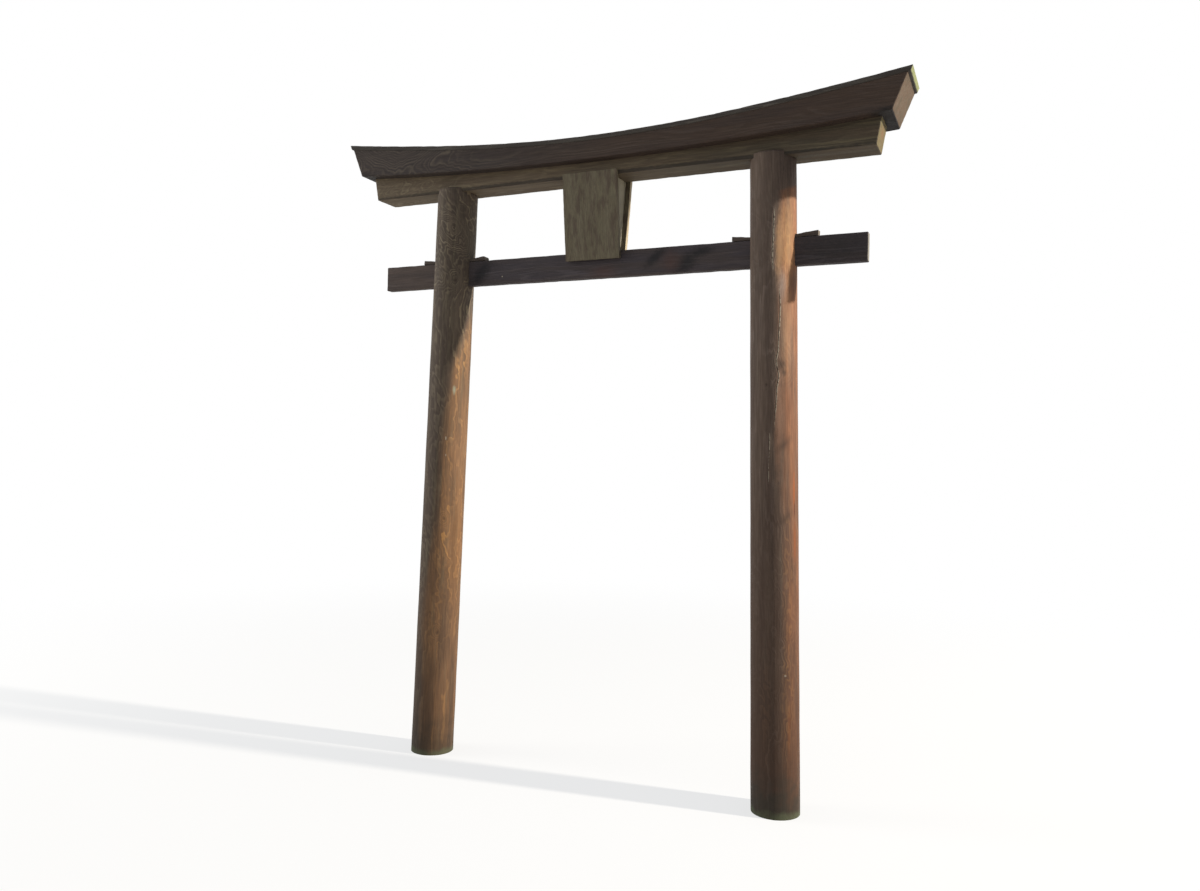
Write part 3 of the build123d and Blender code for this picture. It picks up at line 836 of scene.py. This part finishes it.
# Matt pale paint.
floor_paint = bpy.data.materials.new("pale_matt_floor_paint")
floor_paint.use_nodes = True
tree = floor_paint.node_tree
tree.nodes.clear()
place = (add(tree, "TexCoord", {}), "Object")
away = add(tree, "VectorMath", [place, tuple(middle)], operation="DISTANCE")
fade = add(tree, "MapRange", [(away, "Value"), *FLOOR_FADE, FLOOR_GLOW, 1.0], **SMOOTH)
seen = seen_ray(tree)
fade = add(tree, "Math", [fade, seen], operation="MULTIPLY")
painted = add(tree, "BsdfDiffuse", {
    "Color": add(tree, "Mix", [seen, paint("#b2aea7"), paint("#f2f2f2")], **OVER)})
white = add(tree, "Emission", {"Color": (1, 1, 1, 1), "Strength": 1.0})
add(tree, "OutputMaterial", {"Surface": add(tree, "MixShader", [fade, painted, white])})
floor_mesh.materials.append(floor_paint)

world = bpy.data.worlds.new("studio")
world.use_nodes = True
bpy.context.scene.world = world
tree = world.node_tree
tree.nodes.clear()
fill = add(tree, "Background", {"Color": paint("#dde6f0"), "Strength": 0.40})
white = add(tree, "Background", {"Color": (1, 1, 1, 1), "Strength": 1.0})
add(tree, "OutputWorld", {"Surface": add(tree, "MixShader", [seen_ray(tree), fill, white])})

key = bpy.data.lights.new("key", "AREA")
key.shape = "DISK"
key.size = 1.0
key.energy = 8900.0
key.color = (1.0, 0.92, 0.80)
key_lamp = bpy.data.objects.new("key", key)
key_lamp.location = LAMP
key_lamp.rotation_euler = (middle - LAMP).to_track_quat("-Z", "Y").to_euler()
bpy.context.scene.collection.objects.link(key_lamp)

soft = bpy.data.lights.new("soft", "AREA")
soft.shape = "DISK"
soft.size = 5.0
soft.energy = 300.0
soft.color = (1.0, 0.97, 0.90)
soft_lamp = bpy.data.objects.new("soft", soft)
soft_lamp.location = middle + SOFT_LAMP
soft_lamp.rotation_euler = (middle - soft_lamp.location).to_track_quat("-Z", "Y").to_euler()
bpy.context.scene.collection.objects.link(soft_lamp)


# ---- The camera ------------------------------------------------------------------------------
# At a standing adult's eye height, in front of the gate and to its right, turned to the left
# and tipped by a little over a degree.

EYE = Vector((2.9222, -4.3020, 1.6215))
YAW, PITCH, ROLL = radians(24.468), radians(0.681), radians(1.377)
LENS = 27.99                   # on a sensor 36 mm wide

forward = Vector((-sin(YAW) * cos(PITCH), cos(YAW) * cos(PITCH), sin(PITCH)))
level = Vector((cos(YAW), sin(YAW), 0))
above = level.cross(forward)
right = cos(ROLL) * level + sin(ROLL) * above
up = cos(ROLL) * above - sin(ROLL) * level
lens = bpy.data.cameras.new("camera")
lens.lens = LENS
lens.sensor_width = 36.0
camera = bpy.data.objects.new("camera", lens)
camera.matrix_world = Matrix.Translation(EYE) @ Matrix((right, up, -forward)).transposed().to_4x4()
bpy.context.scene.collection.objects.link(camera)
bpy.context.scene.camera = camera
bpy.context.scene.view_settings.view_transform = "Standard"
